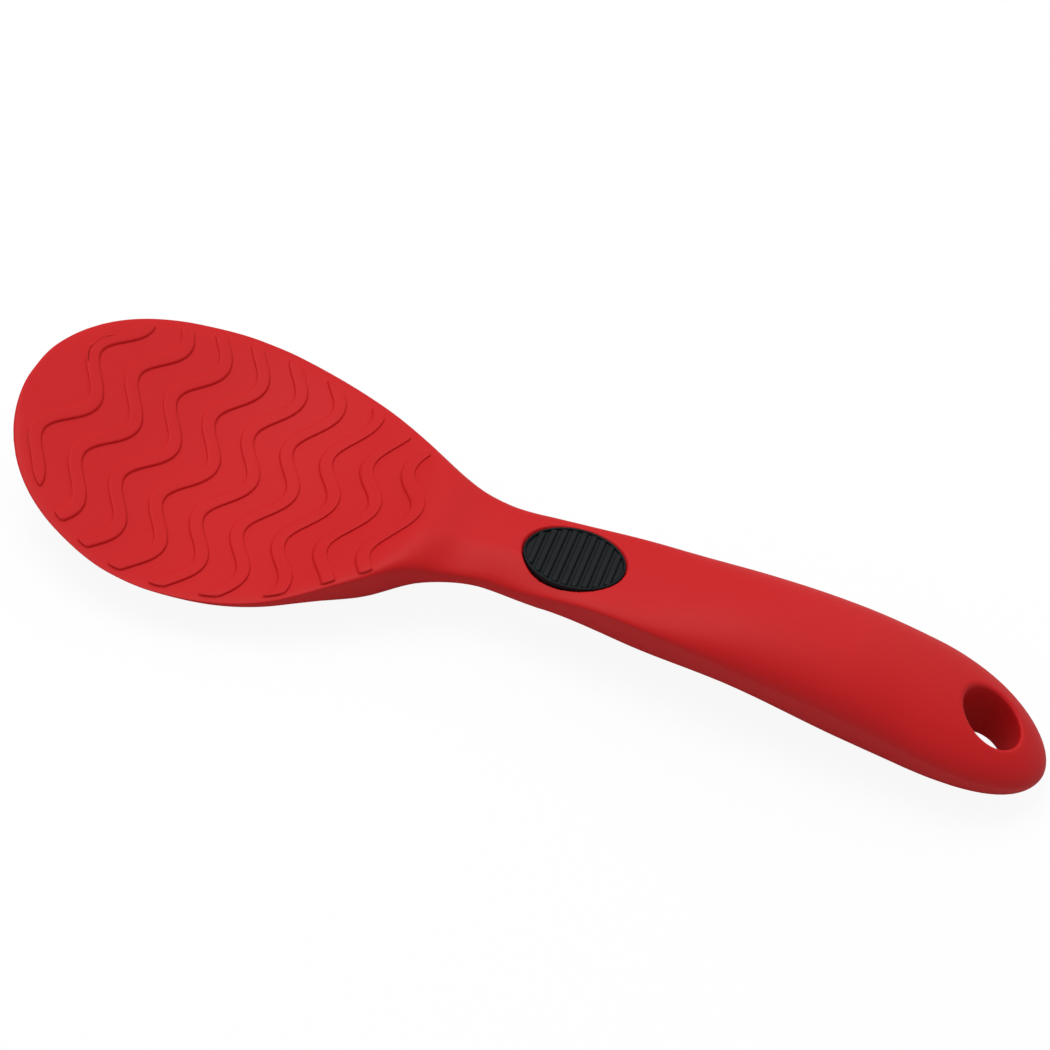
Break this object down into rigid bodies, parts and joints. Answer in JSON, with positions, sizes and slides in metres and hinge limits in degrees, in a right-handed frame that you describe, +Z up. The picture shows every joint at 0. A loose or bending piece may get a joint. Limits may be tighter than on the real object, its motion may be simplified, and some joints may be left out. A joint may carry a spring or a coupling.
{
  "type": "rice paddle",
  "caption": "Rice paddle with a wide dished blade, raised wave bands, a rounded handle, an oval ribbed thumb grip and a hanging hole.",
  "frame": {"origin": "on the table under the middle of the paddle's length and width, as it lies with the dish up", "axes": "+X along the paddle from the blade towards the handle's end, +Y across it, +Z up from the table"},
  "size_m": [0.2399, 0.0808, 0.0261],
  "materials": {
    "red_silicone": "satin moulded silicone",
    "core_nylon": "moulded glass-filled nylon, hidden",
    "grip_rubber": "matte moulded rubber"
  },
  "bodies": {
    "root": {"silicone_body": "red_silicone", "stiffening_core": "core_nylon", "thumb_grip": "grip_rubber"}
  },
  "joints": []
}
